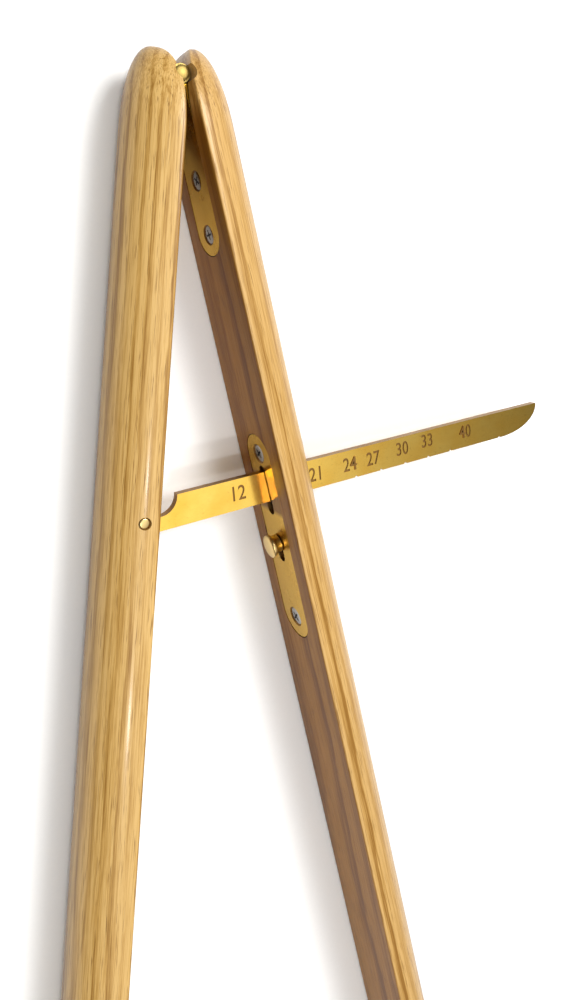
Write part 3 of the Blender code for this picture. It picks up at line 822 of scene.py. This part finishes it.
def toe(side, place):
    profile = ((SHOE_END - 8.0, TOE_SHANK_R), (SHOE_END + GAP, TOE_SHANK_R),
               (SHOE_END + GAP, TOE_COLLAR_R - 0.2), (SHOE_END + 0.5, TOE_COLLAR_R),
               (SHOE_END + 1.8, TOE_COLLAR_R), (SHOE_END + 2.0, TOE_COLLAR_R - 0.2),
               (LEG_TIP - 0.6, TOE_POINT_R), (LEG_TIP - 0.2, TOE_POINT_R - 0.2), (LEG_TIP, 0.3))
    made = turned_u("toe", -TOE_DEPTH, 0.0, profile, place, 48)
    place_piece(made, f"steel_toe_{side}", [f"toe_{side}"], place, STEEL)


def shoe_pin(side, place):
    surface = -DEPTH_RATIO * (HALF_WIDTH - TAPER * SHOE_PIN_U)
    profile = ((surface, SHOE_PIN_R - 0.25), (surface + 0.15, SHOE_PIN_R), (-8.0, SHOE_PIN_R))
    pin = turned_n("brad", SHOE_PIN_U, 0.0, profile, place, 32)
    place_piece(pin, f"brass_shoe_pin_{side}", [f"shoe_pin_{side}"], place, BRASS_SATIN)


left_leg()
right_leg()
hinge_leaf("left", LEFT, False)
hinge_leaf("right", RIGHT, True)
hinge_pin()
set_screw()
for side, place, turns in (("left", LEFT, (0.3, 1.1)), ("right", RIGHT, (0.9, 0.15))):
    for level, u, turn in zip(("upper", "lower"), LEAF_SCREWS, turns):
        plate_screw(f"hinge_screw_{side}_{level}", u, place, turn)
    shoe(side, place)
    toe(side, place)
    shoe_pin(side, place)
stay_arm()
stay_pivot_pin()
catch_plate()
for level, u, turn in zip(("upper", "lower"), CATCH_SCREWS, (0.65, 0.8)):
    plate_screw(f"catch_screw_{level}", u, RIGHT, turn)
catch_bolt()
catch_knob()
catch_spring()


# ---------------------------------------------------------------- floor, light, camera

FLOOR_HALF = 6.0
FLOOR_Z = -0.0004
SKY_STRENGTH = 1.42
SKY_STEPS = ((0.0, 0.09), (0.6, 0.10), (0.7, 0.22), (0.79, 0.42), (0.88, 0.85), (0.96, 1.12))
CEILING = (-0.03, -0.2, 0.97)
STICK_MIDDLE = (0.02, -0.20, 0.0)
CAMERA_AT = (-0.0959, -0.06108, 0.22944)
CAMERA_TURN = (-1.297, -28.083, -4.966)
LENS = 26.207
SHIFT = (0.0337, -0.1975)


def floor():
    """Plain pale floor just under the stick."""
    made = Nodes("floor_paper")
    where = made.add("ShaderNodeTexCoord").outputs["Object"]
    mottle = made.add("ShaderNodeTexNoise", {"Vector": where, "Scale": 900.0, "Detail": 2.0}).outputs[0]
    colour = made.mix(mottle, (0.93, 0.93, 0.925, 1.0), (0.90, 0.90, 0.895, 1.0))
    material = made.out(Base_Color=colour, Roughness=0.9)
    corners = [(x * FLOOR_HALF, y * FLOOR_HALF, FLOOR_Z) for x, y in ((-1, -1), (1, -1), (1, 1), (-1, 1))]
    mesh = bpy.data.meshes.new("floor")
    mesh.from_pydata(corners, [], [(0, 1, 2, 3)])
    plane = bpy.data.objects.new("floor", mesh)
    plane.data.materials.append(material)
    bpy.context.scene.collection.objects.link(plane)


def sky():
    """A bright ceiling above the stick, and dim walls."""
    world = bpy.data.worlds.new("studio")
    bpy.context.scene.world = world
    world.use_nodes = True
    tree = world.node_tree
    back = tree.nodes["Background"]
    where = tree.nodes.new("ShaderNodeTexCoord")
    slant = tree.nodes.new("ShaderNodeVectorMath")
    slant.operation = "DOT_PRODUCT"
    slant.inputs[1].default_value = Vector(CEILING).normalized()
    ramp = tree.nodes.new("ShaderNodeValToRGB")
    tree.links.new(where.outputs["Generated"], slant.inputs[0])
    tree.links.new(slant.outputs["Value"], ramp.inputs[0])
    tree.links.new(ramp.outputs[0], back.inputs[0])
    elements = ramp.color_ramp.elements
    while len(elements) < len(SKY_STEPS):
        elements.new(0.5)
    for element, (at, value) in zip(elements, SKY_STEPS):
        element.position = at
        element.color = (value, value * 0.99, value * 0.97, 1.0)
    back.inputs[1].default_value = SKY_STRENGTH


def lamp(name, at, target, size, power):
    """A square soft lamp, placed and aimed relative to the hinge."""
    data = bpy.data.lights.new(name, "AREA")
    data.energy = power
    data.size = size
    made = bpy.data.objects.new(name, data)
    made.location = HINGE + Vector(at)
    aim = HINGE + Vector(target) - made.location
    made.rotation_euler = aim.to_track_quat("-Z", "Y").to_euler()
    bpy.context.scene.collection.objects.link(made)


def lights():
    lamp("key", (0.55, 0.40, 1.15), STICK_MIDDLE, 0.6, 18.0)
    lamp("spot_upper", (-0.35, -0.36, 1.15), (-0.03, -0.13, 0.0), 0.06, 2.0)
    lamp("spot_lower", (-0.48, -0.73, 1.0), (-0.04, -0.20, 0.0), 0.06, 2.0)


def camera():
    """The viewpoint relative to the hinge, in metres and degrees."""
    data = bpy.data.cameras.new("camera")
    data.sensor_width = 36.0
    data.lens = LENS
    data.shift_x, data.shift_y = SHIFT
    data.clip_start = 0.01
    data.clip_end = 50.0
    made = bpy.data.objects.new("camera", data)
    made.location = HINGE + Vector(CAMERA_AT)
    made.rotation_euler = [math.radians(angle) for angle in CAMERA_TURN]
    bpy.context.scene.collection.objects.link(made)
    bpy.context.scene.camera = made


floor()
sky()
lights()
camera()
bpy.context.scene.view_settings.view_transform = "Standard"
